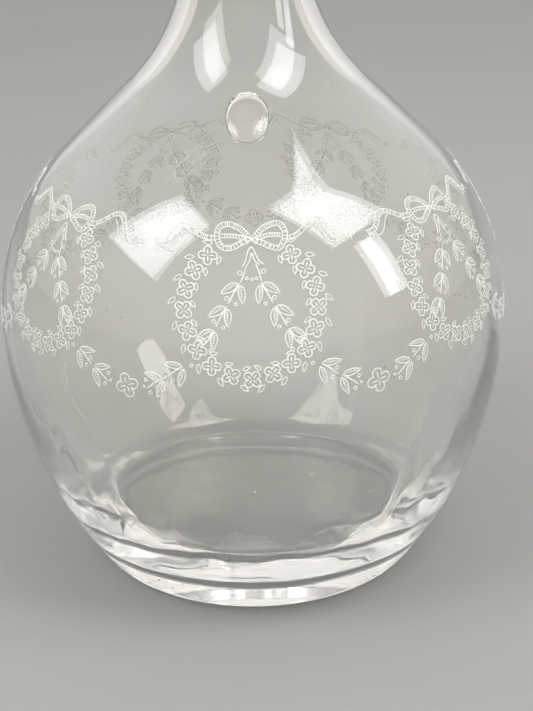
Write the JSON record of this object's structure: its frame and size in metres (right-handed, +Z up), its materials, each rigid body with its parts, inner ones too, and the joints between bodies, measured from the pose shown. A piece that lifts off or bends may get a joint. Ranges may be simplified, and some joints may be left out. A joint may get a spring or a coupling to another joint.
{
  "type": "wine decanter",
  "caption": "Globe-and-shaft glass wine decanter with a heavy base, a flanged lip, an engraved ribbon frieze and a ground ball stopper.",
  "frame": {"origin": "centre of the resting face of the decanter's foot", "axes": "+Z up along the axis of the neck and of the stopper's lift; the frieze's middle bow faces -Y"},
  "size_m": [0.13, 0.13, 0.273],
  "materials": {
    "clear_glass": "clear blown glass, fire-polished, with a needle-engraved matt frieze",
    "stopper_glass": "clear solid glass, polished, with a fine-ground matt peg"
  },
  "bodies": {
    "decanter": {"decanter_body": "clear_glass"},
    "stopper_body": {"stopper": "stopper_glass"}
  },
  "joints": [
    {"name": "stopper_lift", "type": "slide", "parent": "decanter", "child": "stopper_body", "axis": [0, 0, 1], "range_m": [0, 0.05]}
  ]
}
